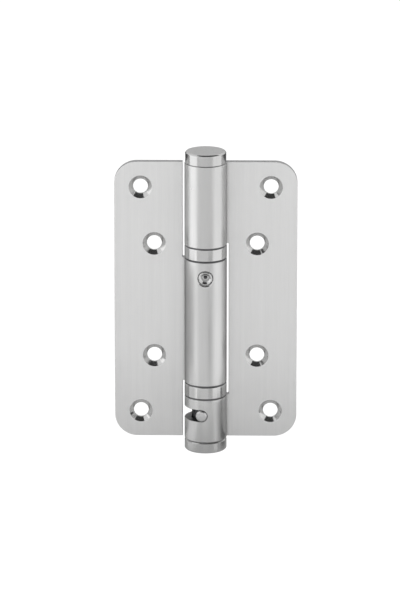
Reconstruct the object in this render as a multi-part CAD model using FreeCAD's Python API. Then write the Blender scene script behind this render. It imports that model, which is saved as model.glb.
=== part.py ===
import FreeCAD, Part
import math
import os

# Adjustable spring hinge, millimetres.
# The pin axis is Z, with the origin at mid-height. The leaves lie flat open: the frame leaf
# towards +X and the door leaf towards -X, with the screw heads' side facing -Y.

# Leaves, stamped and rolled from one sheet each
leaf_height = 125.0
leaf_reach = 40.0  # from the pin axis to a leaf's outer edge
sheet = 3.0
corner_radius = 10.0
edge_break = 0.25  # chamfer round the stamping
leaf_set_back = 1.2  # from the pin axis back to the leaves' front faces
cut_out_gap = 0.85  # between a leaf's inner edge and the barrel
joggle_inner_radius = 1.5  # bend where a leaf runs into its knuckle
seam = 0.3  # between a knuckle's rolled-in end and its own leaf

# Barrel
barrel_radius = 9.25
bore_radius = barrel_radius - sheet
upper_knuckle = 0.2936 * leaf_height
middle_knuckle = 0.4496 * leaf_height
bearing_space = 6.4  # between two knuckles
knuckle_chamfer = 0.3

# Countersunk screw holes
screw_hole_radius = 3.25
countersink_radius = 5.1
outer_column = 28.5  # hole columns, from the pin axis
inner_column = 22.5
outer_row = 0.408 * leaf_height  # hole rows, from mid-height
inner_row = 0.204 * leaf_height

# Caps
cap_height = 5.2
cap_chamfer = 0.6
top_spigot_length = 10.0
bottom_spigot_length = 4.0

# Bearings between the knuckles
washer_thickness = 0.4
washer_inset = 0.2  # a washer's rim, inside the barrel's
bearing_play = 0.1
bearing_chamfer = 0.3

# Shafts in the barrel
neck_step = 1.85  # from the bore in to a neck
neck_radius = bore_radius - neck_step
nose_radius = neck_radius - 1.3
nose_length = 4.5
shoulder_play = 0.2  # from a shaft's shoulder to the end of its knuckle
spindle_body_length = 13.8
spindle_end_gap = 0.7  # under the top cap's spigot
rotor_shoulder_play = 0.5
rotor_neck_overrun = 0.5  # past its bush
rotor_bush_length = 5.0
spindle_bush_inset = 0.2
spindle_bush_end = 2.8  # from the bush to the top cap's spigot

# Retaining ring on the spindle
clip_thickness = 0.8
clip_radius = bore_radius - 0.75
clip_groove_depth = 0.5
clip_opening = neck_radius + 0.2

# Torsion spring of flat wire
wire_width = 1.6
wire_height = 3.0
coil_radius = neck_radius
coil_pitch = 3.6
coil_steps = 16  # straight steps that each turn is drawn with
leg_overhang = nose_radius - 0.2  # a leg's end, past the pin axis
coil_end_gap = 0.5

# Tension pin, its holes in the rotor, and its slot in the lower knuckle
pin_radius = 2.5
pin_stand_out = 0.5
pin_chamfer = 0.5
pin_hole_floor = pin_radius + 0.1  # from the pin axis
pin_hole_count = 4
pin_azimuth = -11.0  # from the front, degrees, to the left when negative
slot_sweep = 120.0
slot_clearance = 0.15

# Locking screw in the middle knuckle
lock_radius = 3.0
lock_drop = 7.1  # below the middle knuckle's upper end
lock_sunk = 0.4  # under the barrel's surface
lock_length = 3.7
lock_floor = neck_radius  # of the spindle's hole, from the pin axis
lock_chamfer = 0.8
hex_across_flats = 3.0
hex_depth = 2.2
lock_mouth = 0.25  # chamfer at the mouth of the knuckle's hole

# Fits, radial
running_fit = 0.1
close_fit = 0.05
washer_fit = 0.2
guide_fit = 0.5
face_play = 0.1

# Places that follow from the sizes
half_height = leaf_height / 2
upper_end = half_height - upper_knuckle
middle_top = upper_end - bearing_space
middle_bottom = middle_top - middle_knuckle
lower_top = middle_bottom - bearing_space
inner_edge = barrel_radius + cut_out_gap
shaft_radius = bore_radius - running_fit
bush_bore = neck_radius + running_fit
bush_radius = bore_radius - close_fit
ring_bore = neck_radius + washer_fit
bearing_height = bearing_space - 2 * washer_thickness - bearing_play
spindle_top = half_height - top_spigot_length - spindle_end_gap
spindle_shoulder = middle_top - shoulder_play
spindle_root = spindle_shoulder - spindle_body_length
rotor_neck_top = middle_bottom + rotor_bush_length + rotor_neck_overrun
rotor_shoulder = lower_top - rotor_shoulder_play
thrust_level = -half_height + bottom_spigot_length + face_play
rotor_bottom = thrust_level + washer_thickness + face_play
upper_leg = spindle_root - coil_end_gap - wire_height / 2
lower_leg = rotor_neck_top + coil_end_gap + wire_height / 2
coil_turns = int((upper_leg - lower_leg) / coil_pitch)
lower_knuckle = lower_top + half_height
pin_level = lower_top - 0.373 * lower_knuckle
lock_level = middle_top - lock_drop

up = FreeCAD.Vector(0, 0, 1)
origin = FreeCAD.Vector(0, 0, 0)


def point(x, y, z=0.0):
    return FreeCAD.Vector(x, y, z)


def radial(azimuth, radius, z=0.0):
    """Point at a distance from the pin axis; azimuth 0 is the front."""
    turn = math.radians(azimuth)
    return point(radius * math.sin(turn), -radius * math.cos(turn), z)


def rod(radius, low, high):
    return Part.makeCylinder(radius, high - low, point(0, 0, low))


def turned(outline):
    """Solid turned about the pin axis from (radius, z) corners."""
    wire_points = [point(r, 0, z) for r, z in outline]
    face = Part.Face(Part.makePolygon(wire_points + wire_points[:1]))
    return face.revolve(origin, up, 360)


def ring(inner, outer, low, high, chamfer=0.0):
    """Flat ring with both outer rims chamfered."""
    if not chamfer:
        return rod(outer, low, high).cut(rod(inner, low, high))
    return turned(
        [
            (inner, low),
            (outer - chamfer, low),
            (outer, low + chamfer),
            (outer, high - chamfer),
            (outer - chamfer, high),
            (inner, high),
        ]
    )


def arc(centre, radius, start, end):
    """Arc edge between two angles in degrees, as a circle turned anticlockwise."""
    circle = Part.Circle(centre, up, radius)
    return Part.ArcOfCircle(circle, math.radians(start), math.radians(end)).toShape()


def knuckle(low, high):
    """Knuckle of the frame leaf: the sheet steps back from the leaf, rolls round the bore and
    ends a seam's width in front of the leaf."""
    front = leaf_set_back
    back = leaf_set_back + sheet
    bend_front = joggle_inner_radius + sheet
    bend_y = back + joggle_inner_radius
    bend_x = math.sqrt((barrel_radius + joggle_inner_radius) ** 2 - bend_y**2)
    bend = point(bend_x, bend_y)
    start = math.degrees(math.atan2(bend_y, bend_x))
    end_y = front - seam
    outer_end = 360 + math.degrees(math.asin(end_y / barrel_radius))
    inner_end = 360 + math.degrees(math.asin(end_y / bore_radius))
    outer_x = math.sqrt(barrel_radius**2 - end_y**2)
    inner_x = math.sqrt(bore_radius**2 - end_y**2)
    edges = [
        arc(bend, joggle_inner_radius, 180 + start, 270),
        arc(origin, barrel_radius, start, outer_end),
        Part.makeLine(point(outer_x, end_y), point(inner_x, end_y)),
        arc(origin, bore_radius, start, inner_end),
        arc(bend, bend_front, 180 + start, 270),
        Part.makeLine(point(bend_x, front), point(inner_edge, front)),
        Part.makeLine(point(inner_edge, front), point(inner_edge, back)),
        Part.makeLine(point(inner_edge, back), point(bend_x, back)),
    ]
    outline = Part.Wire(Part.__sortEdges__(edges))
    solid = Part.Face(outline).extrude(point(0, 0, high - low))
    solid.translate(point(0, 0, low))
    rims = [
        edge
        for edge in solid.Edges
        if isinstance(edge.Curve, Part.Circle)
        and abs(edge.Curve.Radius - barrel_radius) < 1e-6
    ]
    return solid.makeChamfer(knuckle_chamfer, rims)


def leaf_plate():
    """Flat part of a leaf on the +X side, with an edge at the cut-outs' line."""
    solid = Part.makeBox(
        leaf_reach - inner_edge,
        sheet,
        leaf_height,
        point(inner_edge, leaf_set_back, -half_height),
    )
    corners = [
        edge
        for edge in solid.Edges
        if abs(edge.BoundBox.XMin - leaf_reach) < 1e-6
        and abs(edge.BoundBox.XMax - leaf_reach) < 1e-6
        and edge.BoundBox.ZLength < 1e-6
    ]
    solid = solid.makeFillet(corner_radius, corners)
    rims = [
        edge
        for edge in solid.Edges
        if edge.BoundBox.YLength < 1e-6 and edge.BoundBox.XMax > inner_edge + 1e-6
    ]
    return solid.makeChamfer(edge_break, rims)


def screw_hole(x, z):
    """Through hole with a countersink in the front face."""
    back = leaf_set_back + sheet
    depth = countersink_radius - screw_hole_radius
    into = point(0, 1, 0)
    hole = Part.makeCylinder(screw_hole_radius, 2 * sheet, point(x, back - 1.5 * sheet, z), into)
    sink = Part.makeCone(
        countersink_radius, screw_hole_radius, depth, point(x, leaf_set_back, z), into
    )
    return hole.fuse(sink)


def leaf(knuckles):
    """Leaf on the +X side with its knuckles, each given by its lower and upper ends."""
    solid = leaf_plate()
    for low, high in knuckles:
        solid = solid.fuse(knuckle(low, high))
    for side in (1, -1):
        solid = solid.cut(screw_hole(outer_column, side * outer_row))
        solid = solid.cut(screw_hole(inner_column, side * inner_row))
    return solid.removeSplitter()


def frame_leaf():
    return leaf([(upper_end, half_height), (-half_height, lower_top)]).cut(tension_slot())


def door_leaf():
    solid = leaf([(middle_bottom, middle_top)])
    solid = solid.mirror(origin, point(1, 0, 0))
    hole = Part.makeCylinder(
        lock_radius + close_fit, 2 * barrel_radius, point(0, 0, lock_level), point(0, -1, 0)
    )
    mouth_depth = lock_mouth + barrel_radius - math.sqrt(barrel_radius**2 - lock_radius**2)
    mouth_radius = lock_radius + close_fit
    mouth = Part.makeCone(
        mouth_radius,
        mouth_radius + mouth_depth,
        mouth_depth,
        point(0, mouth_depth - barrel_radius, lock_level),
        point(0, -1, 0),
    )
    return solid.cut(hole).cut(mouth)


def tension_slot():
    """Slot round the lower knuckle, with round ends, that lets the tension pin travel."""
    half = pin_radius + slot_clearance
    inner, outer = bore_radius - 1, barrel_radius + 1
    start = pin_azimuth - slot_sweep
    low, high = pin_level - half, pin_level + half
    corners = [
        radial(start, inner, low),
        radial(start, outer, low),
        radial(start, outer, high),
        radial(start, inner, high),
    ]
    face = Part.Face(Part.makePolygon(corners + corners[:1]))
    slot = face.revolve(origin, up, slot_sweep)
    for azimuth in (start, pin_azimuth):
        end = Part.makeCylinder(
            half, outer - inner, radial(azimuth, inner, pin_level), radial(azimuth, 1)
        )
        slot = slot.fuse(end)
    return slot


def cap(spigot_length):
    """Cap on top of the barrel, with a spigot down the bore."""
    top = half_height + cap_height
    spigot = bore_radius - close_fit
    return turned(
        [
            (0, half_height - spigot_length),
            (spigot, half_height - spigot_length),
            (spigot, half_height),
            (barrel_radius - knuckle_chamfer, half_height),
            (barrel_radius, half_height + knuckle_chamfer),
            (barrel_radius, top - cap_chamfer),
            (barrel_radius - cap_chamfer, top),
            (0, top),
        ]
    )


def bottom_cap():
    return cap(bottom_spigot_length).mirror(origin, up)


def washer(low):
    return ring(ring_bore, barrel_radius - washer_inset, low, low + washer_thickness)


def bearing_ring(low):
    return ring(ring_bore, barrel_radius, low, low + bearing_height, bearing_chamfer)


def nose(root, tip, leg_level):
    """Slotted nose that holds a leg of the spring."""
    low, high = min(root, tip), max(root, tip)
    width = wire_width + 2 * running_fit
    away = 1 if tip > root else -1
    slot_root = leg_level - away * (wire_height / 2 + running_fit)
    slot_tip = tip + away
    slot = Part.makeBox(
        2 * bore_radius,
        width,
        abs(slot_tip - slot_root),
        point(-bore_radius, -width / 2, min(slot_tip, slot_root)),
    )
    return rod(nose_radius, low, high).cut(slot)


def pivot_spindle():
    """Spindle fixed in the middle knuckle, with its neck up in the upper knuckle."""
    body = rod(shaft_radius, spindle_root, spindle_shoulder)
    body = body.fuse(rod(neck_radius, spindle_shoulder, spindle_top))
    body = body.fuse(nose(spindle_root, spindle_root - nose_length, upper_leg))
    groove_low = clip_level() - close_fit
    groove_high = clip_level() + clip_thickness + close_fit
    groove = rod(bore_radius, groove_low, groove_high).cut(
        rod(neck_radius - clip_groove_depth, groove_low, groove_high)
    )
    hole = Part.makeCylinder(
        lock_radius + running_fit,
        bore_radius,
        point(0, -lock_floor, lock_level),
        point(0, -1, 0),
    )
    return body.cut(groove).cut(hole)


def spindle_bush_top():
    return half_height - top_spigot_length - spindle_bush_end


def clip_level():
    return spindle_bush_top() + 3 * close_fit


def spindle_bush():
    return ring(bush_bore, bush_radius, upper_end + spindle_bush_inset, spindle_bush_top())


def spindle_clip():
    """Open retaining ring in the spindle's groove."""
    low = clip_level()
    inner = neck_radius - clip_groove_depth + close_fit
    solid = ring(inner, clip_radius, low, low + clip_thickness)
    opening = Part.makeBox(
        clip_opening, bore_radius, clip_thickness, point(-clip_opening / 2, 0, low)
    )
    return solid.cut(opening)


def tension_rotor():
    """Rotor in the lower knuckle: holes for the tension pin, and a neck up to the spring."""
    body = rod(shaft_radius, rotor_bottom, rotor_shoulder)
    body = body.fuse(rod(neck_radius, rotor_shoulder, rotor_neck_top))
    body = body.fuse(nose(rotor_neck_top, rotor_neck_top + nose_length, lower_leg))
    for number in range(pin_hole_count):
        azimuth = pin_azimuth + number * 360 / pin_hole_count
        hole = Part.makeCylinder(
            pin_radius + close_fit,
            bore_radius,
            radial(azimuth, pin_hole_floor, pin_level),
            radial(azimuth, 1),
        )
        body = body.cut(hole)
    return body


def rotor_neck_bush():
    return ring(bush_bore, bush_radius, middle_bottom, middle_bottom + rotor_bush_length)


def rotor_thrust_washer():
    return ring(nose_radius, shaft_radius, thrust_level, thrust_level + washer_thickness)


def tension_pin():
    """Straight pin with a chamfered outer end, laid along its own azimuth."""
    inner = pin_hole_floor + 2 * close_fit
    length = barrel_radius + pin_stand_out - inner
    solid = turned(
        [
            (0, 0),
            (pin_radius, 0),
            (pin_radius, length - pin_chamfer),
            (pin_radius - pin_chamfer, length),
            (0, length),
        ]
    )
    solid.rotate(origin, point(1, 0, 0), 90)
    solid.rotate(origin, up, pin_azimuth)
    solid.translate(radial(pin_azimuth, inner, pin_level))
    return solid


def locking_screw():
    """Set screw with a hexagon socket in its chamfered head end, which faces the front."""
    outer = barrel_radius - lock_sunk
    solid = turned(
        [
            (0, 0),
            (lock_radius, 0),
            (lock_radius, lock_length - lock_chamfer),
            (lock_radius - lock_chamfer, lock_length),
            (0, lock_length),
        ]
    )
    corners = [
        point(
            hex_across_flats / math.sqrt(3) * math.cos(math.radians(60 * k + 30)),
            hex_across_flats / math.sqrt(3) * math.sin(math.radians(60 * k + 30)),
            lock_length - hex_depth,
        )
        for k in range(6)
    ]
    socket = Part.Face(Part.makePolygon(corners + corners[:1])).extrude(up * (2 * hex_depth))
    solid = solid.cut(socket)
    solid.rotate(origin, point(1, 0, 0), 90)
    solid.translate(point(0, lock_length - outer, lock_level))
    return solid


def torsion_spring():
    """Flat wire: a leg across the axis, square bend, coil, square bend and a second leg."""
    half = wire_width / 2
    inner, outer = coil_radius - half, coil_radius + half
    rise = upper_leg - lower_leg
    sections = [
        (point(-leg_overhang, half, lower_leg), point(-leg_overhang, -half, lower_leg)),
        (point(inner, half, lower_leg), point(outer, -half, lower_leg)),
    ]
    steps = coil_turns * coil_steps
    for step in range(1, steps):
        turn = 2 * math.pi * step / coil_steps
        across = point(math.cos(turn), math.sin(turn))
        level = up * (lower_leg + rise * step / steps)
        sections.append((across * inner + level, across * outer + level))
    sections += [
        (point(inner, -half, upper_leg), point(outer, half, upper_leg)),
        (point(-leg_overhang, -half, upper_leg), point(-leg_overhang, half, upper_leg)),
    ]
    return skinned(sections)


def skinned(sections):
    """Solid through upright rectangular sections, each given by its inner and outer middles."""
    lift = up * (wire_height / 2)
    rings = [(a - lift, b - lift, b + lift, a + lift) for a, b in sections]
    outlines = [rings[0], rings[-1]]
    for near, far in zip(rings, rings[1:]):
        outlines.append((near[1], near[2], far[2], far[1]))
        outlines.append((near[3], near[0], far[0], far[3]))
        outlines.append((near[0], near[1], far[1]))
        outlines.append((near[0], far[1], far[0]))
        outlines.append((near[2], near[3], far[3]))
        outlines.append((near[2], far[3], far[2]))
    faces = [Part.Face(Part.makePolygon(list(corners) + [corners[0]])) for corners in outlines]
    shell = Part.makeShell(faces)
    shell.sewShape()
    return Part.Solid(shell)


def spring_guide():
    """Rod inside the spring, between the two noses."""
    low = rotor_neck_top + nose_length + shoulder_play
    high = spindle_root - nose_length - shoulder_play
    return rod(coil_radius - wire_width / 2 - guide_fit, low, high)


pieces = {
    "frame_leaf": frame_leaf(),
    "door_leaf": door_leaf(),
    "top_cap": cap(top_spigot_length),
    "bottom_cap": bottom_cap(),
    "upper_outer_washer": washer(upper_end - washer_thickness),
    "upper_bearing_ring": bearing_ring(middle_top + washer_thickness + bearing_play),
    "upper_inner_washer": washer(middle_top),
    "lower_inner_washer": washer(middle_bottom - washer_thickness),
    "lower_bearing_ring": bearing_ring(lower_top + washer_thickness),
    "lower_outer_washer": washer(lower_top),
    "pivot_spindle": pivot_spindle(),
    "spindle_bush": spindle_bush(),
    "spindle_clip": spindle_clip(),
    "locking_screw": locking_screw(),
    "torsion_spring": torsion_spring(),
    "spring_guide": spring_guide(),
    "tension_rotor": tension_rotor(),
    "rotor_neck_bush": rotor_neck_bush(),
    "rotor_thrust_washer": rotor_thrust_washer(),
    "tension_pin": tension_pin(),
}

os.makedirs("parts", exist_ok=True)
for name, shape in pieces.items():
    box = shape.BoundBox
    shape.exportStep(f"parts/{name}.step")
    print(
        f"{name:20s} solids {len(shape.Solids)} valid {shape.isValid()} volume {shape.Volume:9.1f}",
        f"x {box.XMin:6.1f} {box.XMax:6.1f} y {box.YMin:6.1f} {box.YMax:6.1f}",
        f"z {box.ZMin:6.1f} {box.ZMax:6.1f}",
    )
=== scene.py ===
import math

import bmesh
import bpy
from mathutils import Matrix, Vector


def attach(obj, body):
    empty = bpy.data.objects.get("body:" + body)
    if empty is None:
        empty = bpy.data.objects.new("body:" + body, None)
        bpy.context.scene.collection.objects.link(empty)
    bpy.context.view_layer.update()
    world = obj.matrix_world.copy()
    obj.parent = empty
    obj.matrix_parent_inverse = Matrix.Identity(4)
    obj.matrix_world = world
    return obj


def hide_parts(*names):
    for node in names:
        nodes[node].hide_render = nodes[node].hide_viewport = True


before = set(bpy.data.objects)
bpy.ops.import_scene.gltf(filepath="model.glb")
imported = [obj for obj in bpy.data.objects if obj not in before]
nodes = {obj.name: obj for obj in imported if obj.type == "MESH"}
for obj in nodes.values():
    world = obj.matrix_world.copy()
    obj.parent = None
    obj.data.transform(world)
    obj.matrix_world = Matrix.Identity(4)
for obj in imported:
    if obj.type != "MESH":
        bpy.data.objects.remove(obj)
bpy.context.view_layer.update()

millimetre = 0.001

# The barrel's stations, shared by every piece on the pin, in millimetres from mid-height
barrel = {
    "radius": 9.25,
    "bore": 6.25,
    "halfHeight": 62.5,
    "upperEnd": 25.8,  # lower end of the upper knuckle
    "middleTop": 19.4,
    "middleBottom": -36.8,
    "lowerTop": -43.2,
    "pinAzimuth": -11.0,  # from the front, to the left when negative
    "pinLevel": -50.4,
    "lockLevel": 12.3,
}


# Mesh helpers. Pieces are modelled in millimetres and scaled to metres at the end.

meshing = {
    "turnSteps": 96,
    "roundingSteps": 3,
    "same": 1e-4,  # places nearer than this are one place
    "level": 1e-6,
    "merge": 1e-5,
    "flatWeight": 60,
}


# A flat face from a few corners, each (x, y, z)
def outlineFace(bm, corners):
    bm.faces.new([bm.verts.new(corner) for corner in corners])


def bevelParts(bm, parts, radius, steps, kind):
    bmesh.ops.bevel(bm, geom=parts, offset=radius, offset_type="OFFSET", segments=steps,
                    profile=0.5, affect=kind, material=-1, clamp_overlap=False)


# Rounds the corners of a flat outline that lie at the given places
def roundCorners(bm, places, radius, steps):
    corners = [Vector(place) for place in places]
    chosen = [vert for vert in bm.verts
              if any((vert.co - corner).length < meshing["same"] for corner in corners)]
    bevelParts(bm, chosen, radius, steps, "VERTICES")


# Solid of revolution about Z from (radius, level, rounding) corners
def turnedMesh(corners, steps=meshing["turnSteps"]):
    bm = bmesh.new()
    outlineFace(bm, [(radius, 0, level) for radius, level, rounding in corners])
    for size in sorted({rounding for radius, level, rounding in corners if rounding}):
        places = [(radius, 0, level) for radius, level, rounding in corners if rounding == size]
        roundCorners(bm, places, size, meshing["roundingSteps"])
    bmesh.ops.delete(bm, geom=bm.faces[:], context="FACES_ONLY")
    axial = [edge for edge in bm.edges
             if all(vert.co.x < meshing["level"] for vert in edge.verts)]
    bmesh.ops.delete(bm, geom=axial, context="EDGES")
    bmesh.ops.spin(bm, geom=bm.verts[:] + bm.edges[:], cent=(0, 0, 0), axis=(0, 0, 1),
                   dvec=(0, 0, 0), angle=2 * math.pi, steps=steps, use_merge=True)
    bmesh.ops.remove_doubles(bm, verts=bm.verts[:], dist=meshing["merge"])
    bmesh.ops.recalc_face_normals(bm, faces=bm.faces[:])
    return bm


# Turns a mesh about an axis through the origin
def turnMesh(bm, angle, axis):
    bmesh.ops.rotate(bm, verts=bm.verts[:], cent=(0, 0, 0), matrix=Matrix.Rotation(angle, 3, axis))


def mirrorMesh(bm, scale):
    bmesh.ops.scale(bm, vec=scale, verts=bm.verts[:])
    bmesh.ops.recalc_face_normals(bm, faces=bm.faces[:])


def addPiece(name, bm, body, finishes, node, sharpAngle=50):
    bmesh.ops.scale(bm, vec=(millimetre,) * 3, verts=bm.verts[:])
    mesh = bpy.data.meshes.new(name)
    bm.to_mesh(mesh)
    bm.free()
    mesh.shade_smooth()
    mesh.set_sharp_from_angle(angle=math.radians(sharpAngle))
    for finish in finishes:
        mesh.materials.append(finish)
    piece = bpy.data.objects.new(name, mesh)
    bpy.context.scene.collection.objects.link(piece)
    weighted = piece.modifiers.new("flatFaces", "WEIGHTED_NORMAL")
    weighted.keep_sharp = True
    weighted.weight = meshing["flatWeight"]
    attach(piece, body)
    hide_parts(node)


# Shader helpers

# Fills a node's inputs, each with a value or from the socket that gives it
def feed(tree, node, inputs):
    for label, value in inputs.items():
        if isinstance(value, bpy.types.NodeSocket):
            tree.links.new(value, node.inputs[label])
        else:
            node.inputs[label].default_value = value


def addNode(tree, kind, inputs, **settings):
    node = tree.nodes.new(kind)
    for label, value in settings.items():
        setattr(node, label, value)
    feed(tree, node, inputs)
    return node


def newGroup(name, inputs, outputs):
    group = bpy.data.node_groups.new(name, "ShaderNodeTree")
    for label, kind, value in inputs:
        socket = group.interface.new_socket(name=label, in_out="INPUT", socket_type=kind)
        if value is not None:
            socket.default_value = value
    for label in outputs:
        group.interface.new_socket(name=label, in_out="OUTPUT", socket_type="NodeSocketFloat")
    return group, group.nodes.new("NodeGroupInput").outputs, group.nodes.new("NodeGroupOutput")


grainValues = {
    "linesPerMm": 3.0,
    "along": 0.03,
    "broad": 0.35,
    "fineDetail": 3.0,
    "fineRoughness": 0.6,
    "broadDetail": 2.0,
    "fineShare": 0.5,  # of the streaks
    "broadShare": 0.5,
}


# Fine parallel grain as a ground or brushed face has: a height and a streak mask
def makeGrainGroup():
    group, start, end = newGroup("parallelGrain", [
        ("Vector", "NodeSocketVector", None),
        ("Lines per mm", "NodeSocketFloat", grainValues["linesPerMm"]),
        ("Along", "NodeSocketFloat", grainValues["along"]),
        ("Broad", "NodeSocketFloat", grainValues["broad"]),
    ], ["Height", "Streaks"])
    parts = addNode(group, "ShaderNodeSeparateXYZ", {0: start["Vector"]}).outputs
    along = addNode(group, "ShaderNodeMath", {0: parts["Z"], 1: start["Along"]},
                    operation="MULTIPLY")
    joined = addNode(group, "ShaderNodeCombineXYZ",
                     {"X": parts["X"], "Y": parts["Y"], "Z": along.outputs[0]})
    metres = addNode(group, "ShaderNodeVectorMath",
                     {0: joined.outputs[0], "Scale": 1 / millimetre}, operation="SCALE")
    fine = addNode(group, "ShaderNodeTexNoise", {
        "Vector": metres.outputs[0], "Scale": start["Lines per mm"],
        "Detail": grainValues["fineDetail"], "Roughness": grainValues["fineRoughness"],
    }).outputs["Fac"]
    broad = addNode(group, "ShaderNodeTexNoise", {
        "Vector": metres.outputs[0], "Scale": start["Broad"], "Detail": grainValues["broadDetail"],
    }).outputs["Fac"]
    under = addNode(group, "ShaderNodeMath", {0: broad, 1: grainValues["broadShare"]},
                    operation="MULTIPLY")
    streaks = addNode(group, "ShaderNodeMath",
                      {0: fine, 1: grainValues["fineShare"], 2: under.outputs[0]},
                      operation="MULTIPLY_ADD")
    feed(group, end, {"Height": fine, "Streaks": streaks.outputs[0]})
    return group


smearValues = {"size": 60.0, "detail": 4.0, "roughness": 0.62, "from": 0.35, "to": 0.7}


# Faint smears left by handling, as a mask for the roughness
def makeSmearGroup():
    group, start, end = newGroup("handlingSmears", [
        ("Vector", "NodeSocketVector", None),
        ("Size", "NodeSocketFloat", smearValues["size"]),
    ], ["Mask"])
    cloud = addNode(group, "ShaderNodeTexNoise", {
        "Vector": start["Vector"], "Scale": start["Size"],
        "Detail": smearValues["detail"], "Roughness": smearValues["roughness"],
    })
    spread = addNode(group, "ShaderNodeMapRange", {
        "Value": cloud.outputs["Fac"],
        "From Min": smearValues["from"], "From Max": smearValues["to"],
    }, interpolation_type="SMOOTHSTEP")
    feed(group, end, {"Mask": spread.outputs["Result"]})
    return group


nearAxisValues = {"start": 9.5, "end": 11.0}


# Mask that is 1 near the pin axis and falls to 0 away from it, between two radii in millimetres
def makeBarrelGroup():
    group, start, end = newGroup("nearPinAxis", [
        ("Vector", "NodeSocketVector", None),
        ("Start", "NodeSocketFloat", nearAxisValues["start"]),
        ("End", "NodeSocketFloat", nearAxisValues["end"]),
    ], ["Mask"])
    flat = addNode(group, "ShaderNodeVectorMath",
                   {0: start["Vector"], 1: (1 / millimetre, 1 / millimetre, 0.0)},
                   operation="MULTIPLY")
    away = addNode(group, "ShaderNodeVectorMath", {0: flat.outputs[0]}, operation="LENGTH")
    fall = addNode(group, "ShaderNodeMapRange", {
        "Value": away.outputs["Value"], "From Min": start["Start"], "From Max": start["End"],
        "To Min": 1.0, "To Max": 0.0,
    }, interpolation_type="SMOOTHSTEP")
    feed(group, end, {"Mask": fall.outputs["Result"]})
    return group


grainGroup = makeGrainGroup()
smearGroup = makeSmearGroup()
barrelGroup = makeBarrelGroup()


# Ramp between a finish's dark and light colour
def tintRamp(tree, mask, values, low, high):
    tint = addNode(tree, "ShaderNodeValToRGB", {"Fac": mask})
    ends = tint.color_ramp.elements
    ends[0].position, ends[1].position = low, high
    ends[0].color, ends[1].color = (*values["dark"], 1), (*values["light"], 1)
    return tint.outputs["Color"]


# Roughness between a finish's smooth and rough value
def glossRange(tree, mask, values):
    return addNode(tree, "ShaderNodeMapRange", {
        "Value": mask, "To Min": values["smooth"], "To Max": values["rough"],
    }).outputs["Result"]


streakRamp = (0.3, 0.7)
latheTurn = 0.25  # of the gloss, in whole turns


# Satin steel. The grain runs along the piece's Z unless the values turn it.
def makeSteel(name, values):
    material = bpy.data.materials.new(name)
    material.use_nodes = True
    tree = material.node_tree
    place = addNode(tree, "ShaderNodeTexCoord", {}).outputs["Object"]
    turned = addNode(tree, "ShaderNodeMapping", {
        "Vector": place, "Rotation": [math.radians(angle) for angle in values["turn"]],
    })
    grain = addNode(tree, "ShaderNodeGroup", {
        "Vector": turned.outputs[0], "Lines per mm": values["linesPerMm"],
        "Along": values["along"], "Broad": values["broad"],
    }, node_tree=grainGroup).outputs
    smear = addNode(tree, "ShaderNodeGroup", {"Vector": place, "Size": values["smearSize"]},
                    node_tree=smearGroup).outputs["Mask"]
    colour = tintRamp(tree, grain["Streaks"], values, *streakRamp)
    gloss = glossRange(tree, smear, values)
    polishAndShade = values.get("polishAndShade")
    if polishAndShade:  # the rolled part of a leaf, near the pin axis, is finished finer than its plate, and its darker colour is painted shade
        near = addNode(tree, "ShaderNodeGroup", {
            "Vector": place, "Start": polishAndShade["start"], "End": polishAndShade["end"],
        }, node_tree=barrelGroup).outputs["Mask"]
        colour = addNode(tree, "ShaderNodeMix", {
            "Factor": near, "A": colour,
            "B": tintRamp(tree, grain["Streaks"], polishAndShade, *streakRamp),
        }, data_type="RGBA").outputs["Result"]
        gloss = addNode(tree, "ShaderNodeMix", {
            "Factor": near, "A": gloss, "B": glossRange(tree, smear, polishAndShade),
        }).outputs["Result"]
    bump = addNode(tree, "ShaderNodeBump", {
        "Strength": values["bump"], "Distance": values["depth"] * millimetre,
        "Height": grain["Height"],
    })
    facing = addNode(tree, "ShaderNodeNewGeometry", {})
    around = addNode(tree, "ShaderNodeVectorMath",
                     {0: (0.0, 0.0, 1.0), 1: facing.outputs["Normal"]}, operation="CROSS_PRODUCT")
    feed(tree, tree.nodes["Principled BSDF"], {
        "Metallic": 1.0,
        "Base Color": colour,
        "Roughness": gloss,
        "Normal": bump.outputs["Normal"],
        # Specular Tint from limb darkens reflections at grazing angles; the low values on the
        # leaves, knuckles and rings paint shade along their edges
        "Specular Tint": (values["limb"],) * 3 + (1,),
        "Anisotropic": values["spread"],
        # A lathe leaves its grain round the axis, so the gloss spreads along it
        "Anisotropic Rotation": latheTurn if values["turned"] else 0.0,
        "Tangent": around.outputs[0],
    })
    return material


# Finer finish for the rolled knuckles, with darker colours that paint shade on them
polishAndShadeValues = {
    "start": 9.4, "end": 10.6, "dark": (0.57, 0.57, 0.567), "light": (0.62, 0.62, 0.617),
    "smooth": 0.23, "rough": 0.28,
}
leafSteelValues = {
    "dark": (0.76, 0.76, 0.757), "light": (0.81, 0.81, 0.807), "turn": (0, 0, 0),
    "linesPerMm": 4.0, "along": 0.02, "broad": 0.5, "smearSize": 45.0,
    "smooth": 0.40, "rough": 0.46, "bump": 0.25, "depth": 0.02,
    "limb": 0.5, "spread": 0.7, "turned": False, "polishAndShade": polishAndShadeValues,
}
leafFinish = makeSteel("leafSteel", leafSteelValues)
# The middle knuckle is ground duller than the outer two; its painted shade is a little lighter than
# theirs, and its near-black limb tint paints shade along its edges
doorLeafFinish = makeSteel("doorLeafSteel", leafSteelValues | {
    "limb": 0.05,
    "polishAndShade": polishAndShadeValues | {"dark": (0.60, 0.60, 0.597), "light": (0.65, 0.65, 0.647),
                              "smooth": 0.28, "rough": 0.33},
})
countersinkFinish = makeSteel("countersinkSteel", {
    "dark": (0.56, 0.56, 0.557), "light": (0.64, 0.64, 0.637), "turn": (0, 0, 0),
    "linesPerMm": 3.0, "along": 1.0, "broad": 0.8, "smearSize": 200.0,
    "smooth": 0.12, "rough": 0.18, "bump": 0.06, "depth": 0.01,
    "limb": 0.8, "spread": 0.0, "turned": False,
})
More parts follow.
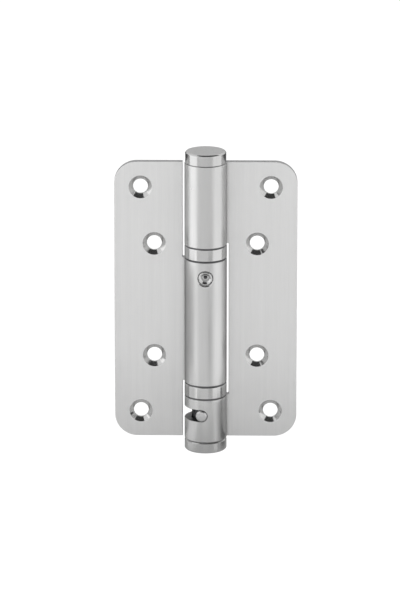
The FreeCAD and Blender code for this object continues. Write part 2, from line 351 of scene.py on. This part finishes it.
# The sheet's cut edges are rougher than its faces, and their darker colour is painted shade
shadedCutEdgeFinish = makeSteel("shadedCutEdgeSteel", {
    "dark": (0.30, 0.30, 0.302), "light": (0.42, 0.42, 0.422), "turn": (90, 0, 0),
    "linesPerMm": 3.0, "along": 0.05, "broad": 0.6, "smearSize": 120.0,
    "smooth": 0.32, "rough": 0.42, "bump": 0.4, "depth": 0.03,
    "limb": 0.8, "spread": 0.0, "turned": False,
})
# Near-black steel: painted shade inside the pin slot and in the screw socket's floor
recessShadeFinish = makeSteel("recessShadeSteel", {
    "dark": (0.10, 0.10, 0.102), "light": (0.17, 0.17, 0.172), "turn": (0, 0, 0),
    "linesPerMm": 3.0, "along": 1.0, "broad": 0.8, "smearSize": 200.0,
    "smooth": 0.35, "rough": 0.5, "bump": 0.4, "depth": 0.03,
    "limb": 0.8, "spread": 0.0, "turned": False,
})
capFinish = makeSteel("capSteel", {
    "dark": (0.53, 0.53, 0.528), "light": (0.57, 0.57, 0.567), "turn": (0, 0, 0),
    "linesPerMm": 4.0, "along": 0.02, "broad": 0.5, "smearSize": 70.0,
    "smooth": 0.15, "rough": 0.19, "bump": 0.06, "depth": 0.01,
    "limb": 0.7, "spread": 0.5, "turned": True,
})
ringFinish = makeSteel("ringSteel", {
    "dark": (0.56, 0.56, 0.557), "light": (0.60, 0.60, 0.597), "turn": (0, 0, 0),
    "linesPerMm": 4.0, "along": 0.02, "broad": 0.5, "smearSize": 70.0,
    "smooth": 0.17, "rough": 0.21, "bump": 0.08, "depth": 0.01,
    "limb": 0.45, "spread": 0.5, "turned": True,
})
screwFinish = makeSteel("screwSteel", {
    "dark": (0.52, 0.52, 0.52), "light": (0.60, 0.60, 0.60), "turn": (0, 0, 0),
    "linesPerMm": 5.0, "along": 1.0, "broad": 0.8, "smearSize": 200.0,
    "smooth": 0.12, "rough": 0.2, "bump": 0.1, "depth": 0.01,
    "limb": 0.8, "spread": 0.0, "turned": False,
})
pinFinish = makeSteel("pinSteel", {
    "dark": (0.56, 0.56, 0.56), "light": (0.62, 0.62, 0.62), "turn": (90, 0, 0),
    "linesPerMm": 5.0, "along": 1.0, "broad": 0.8, "smearSize": 200.0,
    "smooth": 0.25, "rough": 0.35, "bump": 0.2, "depth": 0.02,
    "limb": 0.8, "spread": 0.0, "turned": False,
})
# Near-black: painted shade for the turned parts inside the barrel, seen through the pin slot
shadedTurnedFinish = makeSteel("shadedTurnedSteel", {
    "dark": (0.035, 0.035, 0.037), "light": (0.08, 0.08, 0.083), "turn": (0, 90, 0),
    "linesPerMm": 5.0, "along": 0.1, "broad": 0.8, "smearSize": 120.0,
    "smooth": 0.18, "rough": 0.3, "bump": 0.3, "depth": 0.03,
    "limb": 0.8, "spread": 0.3, "turned": True,
})
wireFinish = makeSteel("springWire", {
    "dark": (0.24, 0.25, 0.27), "light": (0.34, 0.35, 0.37), "turn": (0, 90, 0),
    "linesPerMm": 4.0, "along": 0.1, "broad": 0.8, "smearSize": 120.0,
    "smooth": 0.30, "rough": 0.45, "bump": 0.3, "depth": 0.03,
    "limb": 0.8, "spread": 0.0, "turned": False,
})

mouldedValues = {"detail": 4.0, "bump": 0.2, "depth": 0.02}


# Plain moulded polymer with a fine mottle
def makeMoulded(name, values):
    material = bpy.data.materials.new(name)
    material.use_nodes = True
    tree = material.node_tree
    place = addNode(tree, "ShaderNodeTexCoord", {})
    mottle = addNode(tree, "ShaderNodeTexNoise", {
        "Vector": place.outputs["Object"], "Scale": values["mottle"],
        "Detail": mouldedValues["detail"],
    }).outputs["Fac"]
    bump = addNode(tree, "ShaderNodeBump", {
        "Strength": mouldedValues["bump"], "Distance": mouldedValues["depth"] * millimetre,
        "Height": mottle,
    })
    feed(tree, tree.nodes["Principled BSDF"], {
        "Base Color": tintRamp(tree, mottle, values, 0.0, 1.0),
        "Roughness": glossRange(tree, mottle, values),
        "Normal": bump.outputs["Normal"],
    })
    return material


washerFinish = makeMoulded("washerPolymer", {
    "dark": (0.08, 0.08, 0.083), "light": (0.13, 0.13, 0.135), "mottle": 900.0,
    "smooth": 0.4, "rough": 0.55,
})
bushFinish = makeMoulded("bushPolymer", {
    "dark": (0.66, 0.64, 0.56), "light": (0.76, 0.74, 0.66), "mottle": 700.0,
    "smooth": 0.35, "rough": 0.5,
})
print("materials made")


# Leaves: a flat blank with tongues, pierced, then rolled into knuckles round the pin axis

leafValues = {
    "reach": 40.0,
    "sheet": 3.0,
    "cornerRadius": 10.0,
    "cornerSteps": 20,
    "rim": 0.28,  # rounding round the stamping
    "rimSteps": 3,
    "cutEdge": 0.3,  # a rim face whose normal has less than this along Y is part of the cut edge
    "relief": 0.5,  # rounding in the inner corners of the cut-outs
    "reliefSteps": 4,
    "setBack": 1.2,
    "innerEdge": 10.1,
    "joggleRadius": 1.5,
    "seam": 0.3,
    "rollSteps": 84,
    "joggleSteps": 8,
    "sharpAngle": 40,
}
# The leaves' material slots
leafFinishes = [leafFinish, countersinkFinish, shadedCutEdgeFinish, recessShadeFinish]
brightSlot, shadedCutEdgeSlot, recessShadeSlot = 1, 2, 3


# Where the joggle and the roll start and end, from the leaf's sizes
def rollShape():
    leaf = leafValues
    bendY = leaf["setBack"] + leaf["sheet"] + leaf["joggleRadius"]
    bendX = math.sqrt((barrel["radius"] + leaf["joggleRadius"]) ** 2 - bendY ** 2)
    start = math.atan2(bendY, bendX)
    joggleTurn = math.pi / 2 - start
    endTurn = 2 * math.pi + math.asin((leaf["setBack"] - leaf["seam"]) / barrel["radius"])
    return {
        "bendX": bendX,
        "bendY": bendY,
        "start": start,
        "joggleTurn": joggleTurn,
        "joggleLength": joggleTurn * (leaf["joggleRadius"] + leaf["sheet"] / 2),
        "rollLength": (endTurn - start) * barrel["radius"],
    }


roll = rollShape()
frontAngle = 270  # of the front, -Y, counted from +X


# Place along the flat blank of a point that ends up at this azimuth, 0 being the front
def blankX(azimuth):
    turn = math.radians(frontAngle + azimuth) - roll["start"]
    return roll["bendX"] - roll["joggleLength"] - turn * barrel["radius"]


# Takes a point of the flat blank, front face at y 0 and back face at y sheet, to its place
def rolledPoint(co):
    leaf = leafValues
    depth = co.y
    past = roll["bendX"] - co.x
    if past <= 0:
        return Vector((co.x, leaf["setBack"] + depth, co.z))
    if past <= roll["joggleLength"]:
        angle = 1.5 * math.pi - roll["joggleTurn"] * past / roll["joggleLength"]
        radius = leaf["joggleRadius"] + leaf["sheet"] - depth
        return Vector((roll["bendX"] + radius * math.cos(angle),
                       roll["bendY"] + radius * math.sin(angle), co.z))
    angle = roll["start"] + (past - roll["joggleLength"]) / barrel["radius"]
    radius = barrel["bore"] + depth
    return Vector((radius * math.cos(angle), radius * math.sin(angle), co.z))


# Closed loop of edges for a hole in the blank, or a long slot where halfSlot is given
def ringLoop(bm, centre, depth, radius, steps, halfSlot=0.0, stretch=1.0):
    verts = bmesh.ops.create_circle(bm, cap_ends=False, segments=steps, radius=radius)["verts"]
    bmesh.ops.rotate(bm, verts=verts, cent=(0, 0, 0), matrix=Matrix.Rotation(math.pi / 2, 3, "X"))
    for vert in verts:
        vert.co.x = vert.co.x * stretch + (halfSlot if vert.co.x > 0 else -halfSlot)
    bmesh.ops.translate(bm, verts=verts, vec=(centre[0], depth, centre[1]))
    return list({edge for vert in verts for edge in vert.link_edges})


# Wall of a hole from loops given front to back, as edge lists
def pierce(bm, layers, materialSlot):
    for near, far in zip(layers, layers[1:]):
        made = bmesh.ops.bridge_loops(bm, edges=near + far)["faces"]
        for wall in made:
            wall.material_index = materialSlot
    for wall in made:  # the mouth is deburred bright
        wall.material_index = brightSlot


# Corners of the flat blank. Tongues are (low, high) levels of the strips that are rolled.
def blankCorners(tongues):
    reach, inner, half = leafValues["reach"], leafValues["innerEdge"], barrel["halfHeight"]
    tip = roll["bendX"] - roll["joggleLength"] - roll["rollLength"]
    corners = [(reach, 0, -half), (reach, 0, half)]
    if max(high for low, high in tongues) < half:
        corners.append((inner, 0, half))
    for low, high in sorted(tongues, reverse=True):
        tongue = [(inner, 0, high), (tip, 0, high), (tip, 0, low), (inner, 0, low)]
        corners += [corner for corner in tongue if corner[0] == tip or abs(corner[2]) < half]
    if min(low for low, high in tongues) > -half:
        corners.append((inner, 0, -half))
    return corners


# Closed flat blank with rounded rims, and with the holes that the piercings make
def leafBlank(tongues, piercings):
    leaf, half = leafValues, barrel["halfHeight"]
    corners = blankCorners(tongues)
    bm = bmesh.new()
    outlineFace(bm, corners)
    roundCorners(bm, corners[:2], leaf["cornerRadius"], leaf["cornerSteps"])
    relief = [(x, y, z) for x, y, z in corners if x == leaf["innerEdge"] and abs(z) < half]
    roundCorners(bm, relief, leaf["relief"], leaf["reliefSteps"])
    made = bmesh.ops.extrude_face_region(bm, geom=bm.faces[:])["geom"]
    moved = [part for part in made if isinstance(part, bmesh.types.BMVert)]
    bmesh.ops.translate(bm, verts=moved, vec=(0, leaf["sheet"], 0))
    bmesh.ops.recalc_face_normals(bm, faces=bm.faces[:])
    rims = [edge for edge in bm.edges
            if abs(edge.verts[0].co.y - edge.verts[1].co.y) < meshing["level"]]
    bevelParts(bm, rims, leaf["rim"], leaf["rimSteps"], "EDGES")
    big = sorted(bm.faces, key=lambda face: face.calc_area(), reverse=True)[:2]
    sides = {}
    for face in big:
        atFront = face.calc_center_median().y < leaf["sheet"] / 2
        sides["front" if atFront else "back"] = face.edges[:]
    bmesh.ops.delete(bm, geom=big, context="FACES_ONLY")
    for rim in bm.faces:
        if abs(rim.normal.y) < leaf["cutEdge"]:
            rim.material_index = shadedCutEdgeSlot
    for layers, materialSlot in [hole for makeHoles in piercings for hole in makeHoles(bm)]:
        pierce(bm, layers, materialSlot)
        sides["front"] += layers[0]
        sides["back"] += layers[-1]
    for edges in sides.values():
        bmesh.ops.triangle_fill(bm, use_beauty=True, use_dissolve=False, edges=edges)
    return bm


# Each rounding is given as (out from the radius, deeper than the level)
screwHoleValues = {
    "hole": 3.25,
    "countersink": 5.1,
    "places": ((28.5, 51.0), (22.5, 25.5)),  # column from the pin axis, row from mid-height
    "steps": 64,
    "mouth": ((0.06, 0.0), (-0.02, 0.03), (-0.08, 0.10)),
    "throat": ((0.08, -0.10), (0.01, -0.02), (0.0, 0.10)),
    "back": ((0.0, -0.15), (0.05, -0.04), (0.15, 0.0)),
}


# Four countersunk holes, from the front face to the back
def screwHoles(bm):
    screw = screwHoleValues
    hole, countersink = screw["hole"], screw["countersink"]
    rings = [(countersink + out, deeper) for out, deeper in screw["mouth"]]
    rings += [(hole + out, countersink - hole + deeper) for out, deeper in screw["throat"]]
    rings += [(hole + out, leafValues["sheet"] + deeper) for out, deeper in screw["back"]]
    made = []
    for column, row in screw["places"]:
        for side in (1, -1):
            layers = [ringLoop(bm, (column, side * row), depth, radius, screw["steps"])
                      for radius, depth in rings]
            made.append((layers, brightSlot))
    return made


# Walls of the holes in a knuckle, as (out from the bore, widening)
pinSlotValues = {
    "halfWidth": 2.65,
    "sweep": 120.0,
    "steps": 48,
    "wall": ((0.0, 0.0), (2.8, 0.0), (2.88, 0.02), (3.0, 0.14)),
}
lockHoleValues = {
    "radius": 3.05,
    "steps": 56,
    "wall": ((0.0, 0.0), (2.2, 0.0), (2.35, 0.04), (2.92, 0.62), (3.0, 0.75)),
}


# Loops of a hole through a knuckle. The blank's back becomes the outside, which rolling stretches.
def knuckleHole(bm, values, centre, radius, halfSlot):
    layers = []
    for depth, widening in values["wall"]:
        stretch = barrel["radius"] / (barrel["bore"] + depth)
        layers.append(ringLoop(bm, centre, depth, radius + widening, values["steps"], halfSlot,
                               stretch))
    return layers


# Slot in the lower knuckle for the tension pin, its walls in painted shade
def pinSlot(bm):
    slot = pinSlotValues
    centre = (blankX(barrel["pinAzimuth"] - slot["sweep"] / 2), barrel["pinLevel"])
    halfSlot = math.radians(slot["sweep"] / 2) * barrel["radius"]
    return [(knuckleHole(bm, slot, centre, slot["halfWidth"], halfSlot), recessShadeSlot)]


# Hole for the locking screw in the middle knuckle, with a chamfered mouth
def lockHole(bm):
    centre = (blankX(0.0), barrel["lockLevel"])
    return [(knuckleHole(bm, lockHoleValues, centre, lockHoleValues["radius"], 0.0), brightSlot)]


# Cuts the tongues across into narrow strips and rolls them up
def rollLeaf(bm):
    steps = leafValues["joggleSteps"]
    cuts = [roll["bendX"] - roll["joggleLength"] * k / steps for k in range(steps)]
    steps = leafValues["rollSteps"]
    cuts += [roll["bendX"] - roll["joggleLength"] - roll["rollLength"] * k / steps
             for k in range(steps)]
    for x in cuts:
        bmesh.ops.bisect_plane(bm, geom=bm.verts[:] + bm.edges[:] + bm.faces[:],
                               dist=meshing["merge"], plane_co=(x, 0, 0), plane_no=(1, 0, 0))
    for vert in bm.verts:
        vert.co = rolledPoint(vert.co)
    bmesh.ops.remove_doubles(bm, verts=bm.verts[:], dist=meshing["same"])
    bmesh.ops.recalc_face_normals(bm, faces=bm.faces[:])


frameBlank = leafBlank(
    [(barrel["upperEnd"], barrel["halfHeight"]), (-barrel["halfHeight"], barrel["lowerTop"])],
    [screwHoles, pinSlot],
)
rollLeaf(frameBlank)
addPiece("frameLeafRolled", frameBlank, "frame_side", leafFinishes, "frame_leaf",
         leafValues["sharpAngle"])

doorBlank = leafBlank([(barrel["middleBottom"], barrel["middleTop"])], [screwHoles, lockHole])
rollLeaf(doorBlank)
mirrorMesh(doorBlank, (-1, 1, 1))
addPiece("doorLeafRolled", doorBlank, "door_side", [doorLeafFinish] + leafFinishes[1:],
         "door_leaf", leafValues["sharpAngle"])
print("leaves rolled")


# Caps, washers and bearing rings

capValues = {
    "height": 5.2,
    "chamfer": 0.6,
    "rounding": 0.2,
    "underRoundings": (0.03, 0.05),
    "plugPlay": 0.05,  # to the bore
    "plugRounding": 0.3,
    "top": {"spigot": 10.0, "under": 0.2, "inset": 0.25},
    "bottom": {"spigot": 4.0, "under": 0.8, "inset": 0.0},
}


# Cap for an end of the barrel, drawn for the upper end
def capMesh(end):
    cap = capValues
    radius = barrel["radius"] - end["inset"]
    plug = barrel["bore"] - cap["plugPlay"]
    base = barrel["halfHeight"]
    top = base + cap["height"]
    return turnedMesh([
        (0, base - end["spigot"], 0),
        (plug, base - end["spigot"], cap["plugRounding"]),
        (plug, base, 0),
        (radius - end["under"], base, cap["underRoundings"][0]),
        (radius, base + end["under"], cap["underRoundings"][1]),
        (radius, top - cap["chamfer"], cap["rounding"]),
        (radius - cap["chamfer"], top, cap["rounding"]),
        (0, top, 0),
    ])


addPiece("topCapTurned", capMesh(capValues["top"]), "frame_side", [capFinish],
         "top_cap")
lowerCap = capMesh(capValues["bottom"])
mirrorMesh(lowerCap, (1, 1, -1))
addPiece("bottomCapTurned", lowerCap, "frame_side", [capFinish], "bottom_cap")

bearingValues = {
    "space": 6.4,
    "washer": 0.4,
    "play": 0.1,
    "inset": 0.06,  # of a washer's rim
    "bore": 4.6,
    "washerRounding": 0.1,
    "chamfer": 0.3,
    "chamferRoundings": (0.05, 0.1),
}


def washerMesh(low):
    bearing = bearingValues
    bore, outer = bearing["bore"], barrel["radius"] - bearing["inset"]
    high = low + bearing["washer"]
    return turnedMesh([
        (bore, low, 0),
        (outer, low, bearing["washerRounding"]),
        (outer, high, bearing["washerRounding"]),
        (bore, high, 0),
    ])


def ringMesh(low):
    bearing = bearingValues
    bore, outer, cut = bearing["bore"], barrel["radius"], bearing["chamfer"]
    high = low + (bearing["space"] - 2 * bearing["washer"] - bearing["play"])
    inside, outside = bearing["chamferRoundings"]
    return turnedMesh([
        (bore, low, 0), (outer - cut, low, inside), (outer, low + cut, outside),
        (outer, high - cut, outside), (outer - cut, high, inside), (bore, high, 0),
    ])


washer = bearingValues["washer"]
for name, node, body, low in (
    ("upperOuterWasher", "upper_outer_washer", "frame_side", barrel["upperEnd"] - washer),
    ("upperInnerWasher", "upper_inner_washer", "door_side", barrel["middleTop"]),
    ("lowerInnerWasher", "lower_inner_washer", "door_side", barrel["middleBottom"] - washer),
    ("lowerOuterWasher", "lower_outer_washer", "frame_side", barrel["lowerTop"]),
):
    addPiece(name, washerMesh(low), body, [washerFinish], node)
for name, node, low in (
    ("upperRingTurned", "upper_bearing_ring", barrel["middleTop"] + washer + bearingValues["play"]),
    ("lowerRingTurned", "lower_bearing_ring", barrel["lowerTop"] + washer),
):
    addPiece(name, ringMesh(low), "frame_side", [ringFinish], node)
print("caps and bearings made")


# Locking screw: a set screw with a hexagon socket and a cut thread, face to the front

lockScrewValues = {
    "radius": 3.0,
    "face": 8.85,  # from the pin axis
    "faceEdge": 0.32,  # from the rim in to the flat face
    "bevel": 0.26,
    "length": 3.7,
    "acrossFlats": 3.0,
    "socketDepth": 2.9,
    "funnel": 2.45,
    "funnelSlope": 0.95,
    "drill": 0.85,
    "drillPoint": 0.45,
    "drillCentre": 0.1,
    "step": 0.02,  # depth of the socket's finest edges
    "edge": 0.03,  # width and depth of the face's own edges
    "steps": 72,
    "sharpAngle": 25,
}
threadValues = {
    "pitch": 1.0,
    "depth": 0.55,
    "start": 0.26,  # under the face
    "end": 3.2,
    "step": 0.06,
    "steps": 50,
    "fadeIn": 0.5,
    "fadeOut": 0.3,
    "fill": 1.35,  # over 1, the groove gets a flat bottom
}
tipValues = {"shoulder": 1.9, "radius": 1.8, "height": 0.08}


# Distance from the middle of a hexagon with upright flats to its side, along an angle
def hexagonReach(angle, acrossFlats):
    return acrossFlats / 2 / math.cos((angle + math.pi / 6) % (math.pi / 3) - math.pi / 6)


# Distance from the screw's axis to its thread, which climbs as the angle grows
def threadReach(angle, depth):
    thread = threadValues
    turn = (depth / thread["pitch"] + angle / (2 * math.pi)) % 1.0
    groove = min(1.0, thread["fill"] * (1.0 - abs(2.0 * turn - 1.0)))
    fade = min(1.0, (depth - thread["start"]) / thread["fadeIn"],
               (thread["end"] - depth) / thread["fadeOut"])
    return lockScrewValues["radius"] - thread["depth"] * groove * max(0.0, fade)


# The screw's surface as rings of (kind, radius, depth), from the drill's mark in the socket's
# floor up to the face and down the thread to the tip
def lockScrewRings():
    screw, thread, tip = lockScrewValues, threadValues, tipValues
    rings = [
        ("round", screw["drillCentre"], screw["socketDepth"] + screw["drillPoint"]),
        ("round", screw["drill"], screw["socketDepth"] + screw["step"]),
        ("hexagon", 0, screw["socketDepth"]),
        ("funnel", 0, screw["step"]),
        ("round", screw["funnel"], screw["step"]),
        ("round", screw["funnel"] + screw["edge"], 0.0),
        ("round", screw["radius"] - screw["faceEdge"], 0.0),
        ("round", screw["radius"] - screw["bevel"], screw["edge"]),
    ]
    rings += [("thread", 0, thread["start"] + thread["step"] * k) for k in range(thread["steps"])]
    rings += [("round", tip["shoulder"], screw["length"] - tip["height"]),
              ("round", tip["radius"], screw["length"])]
    return rings


def lockScrewMesh():
    screw = lockScrewValues
    rings = lockScrewRings()
    bm = bmesh.new()
    loops = []
    for number, (kind, radius, depth) in enumerate(rings):
        made = bmesh.ops.create_circle(bm, cap_ends=number in (0, len(rings) - 1),
                                       segments=screw["steps"], radius=1.0)
        for vert in made["verts"]:
            angle = math.atan2(vert.co.y, vert.co.x)
            reach = radius
            below = depth
            if kind == "thread":
                reach = threadReach(angle, depth)
            if kind in ("hexagon", "funnel"):
                reach = hexagonReach(angle, screw["acrossFlats"])
            if kind == "funnel":  # a cone cut by the hexagon, so its lower edge rises and falls
                below += (screw["funnel"] - reach) * screw["funnelSlope"]
            vert.co = Vector((reach * math.cos(angle), reach * math.sin(angle), -below))
        loops.append(list({edge for vert in made["verts"] for edge in vert.link_edges}))
    for near, far in zip(loops, loops[1:]):
        bmesh.ops.bridge_loops(bm, edges=near + far)
    for face in bm.faces:
        middle = face.calc_center_median()
        deep = middle.z < -screw["socketDepth"] - screw["step"]
        if deep and math.hypot(middle.x, middle.y) < screw["drill"]:
            face.material_index = 1  # painted shade on the drill point in the socket's floor, and on the hidden tip
    turnMesh(bm, math.pi / 2, "X")
    bmesh.ops.translate(bm, verts=bm.verts[:], vec=(0, -screw["face"], barrel["lockLevel"]))
    bmesh.ops.recalc_face_normals(bm, faces=bm.faces[:])
    return bm


addPiece("lockingSetScrew", lockScrewMesh(), "door_side", [screwFinish, recessShadeFinish],
         "locking_screw", lockScrewValues["sharpAngle"])


# Tension pin, in the rotor's hole and out through the slot

pinValues = {
    "radius": 2.5,
    "inner": 2.7,  # from the pin axis
    "outer": 9.75,
    "innerChamfer": 0.3,
    "innerRounding": 0.05,
    "chamfer": 0.5,
    "rounding": 0.08,
    "steps": 72,
}


def pinMesh():
    pin = pinValues
    radius, length = pin["radius"], pin["outer"] - pin["inner"]
    bm = turnedMesh([
        (0, 0, 0),
        (radius - pin["innerChamfer"], 0, pin["innerRounding"]),
        (radius, pin["innerChamfer"], pin["innerRounding"]),
        (radius, length - pin["chamfer"], pin["rounding"]),
        (radius - pin["chamfer"], length, pin["rounding"]),
        (0, length, 0),
    ], pin["steps"])
    turnMesh(bm, math.pi / 2, "X")
    bmesh.ops.translate(bm, verts=bm.verts[:], vec=(0, -pin["inner"], 0))
    turnMesh(bm, math.radians(barrel["pinAzimuth"]), "Z")
    bmesh.ops.translate(bm, verts=bm.verts[:], vec=(0, 0, barrel["pinLevel"]))
    return bm


addPiece("tensionPinTurned", pinMesh(), "tensioner", [pinFinish], "tension_pin")
print("locking screw and pin made")


# Finishes for the solids that stay as they are

keptFinishes = {
    "pivot_spindle": shadedTurnedFinish,
    "spindle_bush": bushFinish,
    "spindle_clip": wireFinish,
    "torsion_spring": wireFinish,
    "spring_guide": shadedTurnedFinish,
    "tension_rotor": shadedTurnedFinish,
    "rotor_neck_bush": bushFinish,
    "rotor_thrust_washer": washerFinish,
}
for name, finish in keptFinishes.items():
    kept = nodes[name]
    kept.data.materials.clear()
    kept.data.materials.append(finish)


# Floor, light and camera, in metres

studio = {
    "floorLevel": -0.5,
    "floorSize": 12.0,
    "floorShade": 0.82,
    "floorRoughness": 0.9,
    "floorGlow": 0.25,  # added where the camera or a reflection sees the floor
    "world": 1.0,
}
# Matt cards round the object, as a photographer stands them: out of the camera's sight, seen
# in the metal. Turn is about Z, and tilt 90 stands a card up.
cards = {
    "frontCard": {"at": (-0.10, -1.0, -0.22), "size": (1.94, 0.56), "tilt": 90, "turn": 0,
                  "shade": 0.86},
    "leftRearCard": {"at": (-0.90, 0.72, -0.1), "size": (1.3, 0.8), "tilt": 90, "turn": 48,
                     "shade": 0.12},
    "rightRearCard": {"at": (0.90, 0.72, -0.1), "size": (1.3, 0.8), "tilt": 90, "turn": -48,
                      "shade": 0.12},
    "rearCard": {"at": (0.0, 1.6, 0.6), "size": (2.4, 1.1), "tilt": 90, "turn": 0, "shade": 0.92},
    "ceilingCard": {"at": (0.25, -0.5, 1.0), "size": (1.46, 1.5), "tilt": 0, "turn": 0,
                    "shade": 0.07},
    "underCard": {"at": (0.0, -0.02, -0.09), "size": (0.18, 0.2), "tilt": 0, "turn": 0,
                  "shade": 0.58},
}
# Small upright cards near the barrel, each between two azimuths and two levels, so that a card
# is seen in one knuckle only
nearCards = {
    "lowRightCard": {"distance": 0.08, "azimuths": (45, 65), "levels": (-0.13, -0.064),
                     "shade": 0.88},
    "lowSideCard": {"distance": 0.08, "azimuths": (65, 86), "levels": (-0.13, -0.064),
                    "shade": 0.48},
    "lowRearCard": {"distance": 0.08, "azimuths": (86, 130), "levels": (-0.13, -0.058),
                    "shade": 0.14},
    "lowLeftCard": {"distance": 0.08, "azimuths": (-125, -52), "levels": (-0.13, -0.06),
                    "shade": 0.97},
    "midLeftCard": {"distance": 0.12, "azimuths": (-96, -60), "levels": (-0.07, -0.014),
                    "shade": 0.66},
    "midRearCard": {"distance": 0.12, "azimuths": (-145, -96), "levels": (-0.07, -0.014),
                    "shade": 0.4},
    "midFrontCard": {"distance": 0.3, "azimuths": (15, 36), "levels": (-0.122, -0.066),
                     "shade": 0.4},
}
softBoxes = {
    "leftBox": {"azimuth": -79, "elevation": 4, "distance": 1.0, "size": (1.15, 1.1), "glow": 0.4},
    "rightBox": {"azimuth": 76, "elevation": 0, "distance": 1.0, "size": (1.2, 0.95), "glow": 0.1},
}
cameraValues = {
    "azimuth": 1.0,
    "elevation": 16.02,
    "distance": 2.0,
    "aim": (-0.002486, 0, 0.00022),
    "lens": 273.7,
    "sensor": 36.0,
    "nearest": 0.1,
    "farthest": 20.0,
}


# Direction from the object to an azimuth, 0 being the front, and an elevation, in degrees
def directionTo(azimuth, elevation):
    turn, rise = math.radians(azimuth), math.radians(elevation)
    return Vector((math.sin(turn) * math.cos(rise), -math.cos(turn) * math.cos(rise),
                   math.sin(rise)))


# Stands a lamp or the camera at a distance from a place, facing it
def standFacing(thing, place, values):
    away = directionTo(values["azimuth"], values["elevation"])
    thing.location = Vector(place) + away * values["distance"]
    thing.rotation_mode = "QUATERNION"
    thing.rotation_quaternion = away.to_track_quat("Z", "Y")
    bpy.context.scene.collection.objects.link(thing)


# Place, size and turn of a near card, as the cards above have them
def nearCard(values):
    (near, far), (low, high) = values["azimuths"], values["levels"]
    middle, spread = math.radians((near + far) / 2), math.radians((far - near) / 2)
    distance = values["distance"]
    return {
        "at": (distance * math.sin(middle), -distance * math.cos(middle), (low + high) / 2),
        "size": (2 * distance * math.tan(spread), high - low),
        "tilt": 90,
        "turn": math.degrees(middle),
        "shade": values["shade"],
    }


def mattPaint(name, shade, roughness):
    material = bpy.data.materials.new(name)
    material.use_nodes = True
    feed(material.node_tree, material.node_tree.nodes["Principled BSDF"], {
        "Base Color": (shade,) * 3 + (1,), "Roughness": roughness, "Specular IOR Level": 0.0,
    })
    return material


def stagePlane(name, width, depth, material):
    bm = bmesh.new()
    bmesh.ops.create_grid(bm, x_segments=1, y_segments=1, size=0.5)
    bmesh.ops.scale(bm, vec=(width, depth, 1), verts=bm.verts[:])
    mesh = bpy.data.meshes.new(name)
    bm.to_mesh(mesh)
    bm.free()
    mesh.materials.append(material)
    plane = bpy.data.objects.new(name, mesh)
    bpy.context.scene.collection.objects.link(plane)
    return plane


# Pale floor that keeps the object's shadow and looks white to the camera and in reflections
def makeFloor():
    material = mattPaint("paleFloor", studio["floorShade"], studio["floorRoughness"])
    tree = material.node_tree
    path = addNode(tree, "ShaderNodeLightPath", {}).outputs
    seen = addNode(tree, "ShaderNodeMath",
                   {0: path["Is Camera Ray"], 1: path["Is Glossy Ray"]}, operation="MAXIMUM")
    also = addNode(tree, "ShaderNodeMath",
                   {0: seen.outputs[0], 1: path["Is Transmission Ray"]}, operation="MAXIMUM")
    glow = addNode(tree, "ShaderNodeMath", {0: also.outputs[0], 1: studio["floorGlow"]},
                   operation="MULTIPLY")
    feed(tree, tree.nodes["Principled BSDF"],
         {"Emission Color": (1, 1, 1, 1), "Emission Strength": glow.outputs[0]})
    floor = stagePlane("floor", studio["floorSize"], studio["floorSize"], material)
    floor.location.z = studio["floorLevel"]


def makeCards():
    near = {name: nearCard(values) for name, values in nearCards.items()}
    for name, values in (cards | near).items():
        card = stagePlane(name, *values["size"], mattPaint(name + "Paint", values["shade"], 1.0))
        card.rotation_euler = (math.radians(values["tilt"]), 0, math.radians(values["turn"]))
        card.location = values["at"]
        card.visible_camera = False
        card.visible_diffuse = False
        card.visible_shadow = False


def makeWorld():
    world = bpy.data.worlds.new("studio")
    world.use_nodes = True
    feed(world.node_tree, world.node_tree.nodes["Background"],
         {"Color": (1, 1, 1, 1), "Strength": studio["world"]})
    bpy.context.scene.world = world


def addSoftBoxes():
    for name, values in softBoxes.items():
        light = bpy.data.lights.new(name, "AREA")
        light.shape = "RECTANGLE"
        light.size, light.size_y = values["size"]
        light.energy = values["glow"] * math.pi * light.size * light.size_y
        lamp = bpy.data.objects.new(name, light)
        lamp.visible_camera = False
        standFacing(lamp, (0, 0, 0), values)


def makeCamera():
    camera = bpy.data.objects.new("camera", bpy.data.cameras.new("camera"))
    camera.data.lens = cameraValues["lens"]
    camera.data.sensor_width = cameraValues["sensor"]
    camera.data.clip_start = cameraValues["nearest"]
    camera.data.clip_end = cameraValues["farthest"]
    standFacing(camera, cameraValues["aim"], cameraValues)
    bpy.context.scene.camera = camera


makeFloor()
makeCards()
makeWorld()
addSoftBoxes()
makeCamera()
bpy.context.scene.view_settings.view_transform = "Standard"
print("stage set")
